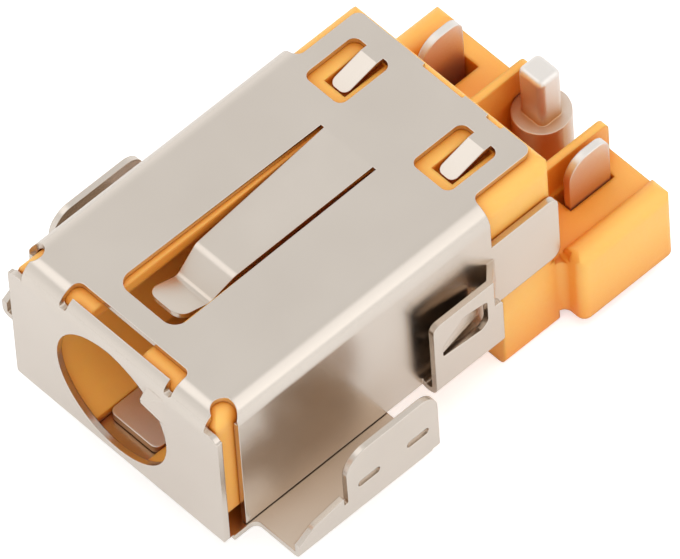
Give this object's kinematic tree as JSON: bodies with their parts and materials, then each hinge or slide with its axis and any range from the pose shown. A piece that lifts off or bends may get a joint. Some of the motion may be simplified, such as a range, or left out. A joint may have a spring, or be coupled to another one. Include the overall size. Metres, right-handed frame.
{
  "type": "dc power jack",
  "caption": "Board-mounted jack for a barrel plug: folded metal case with a spring finger, moulded housing, centre pin and upright solder terminals.",
  "frame": {"origin": "the plug's axis at the outer face of the front plate", "axes": "+X to the right seen from the plug's side, +Y from the mouth to the rear, +Z the way the solder legs point"},
  "size_m": [0.0156, 0.0223, 0.0099],
  "materials": {
    "case_metal": "satin nickel plate",
    "housing_plastic": "satin moulded",
    "contact_metal": "matt tin plate",
    "pin_metal": "plated, smooth"
  },
  "bodies": {
    "root": {"shield": "case_metal", "housing": "housing_plastic", "ground_contact": "contact_metal", "centre_pin": "pin_metal", "centre_terminal": "contact_metal"}
  },
  "joints": []
}
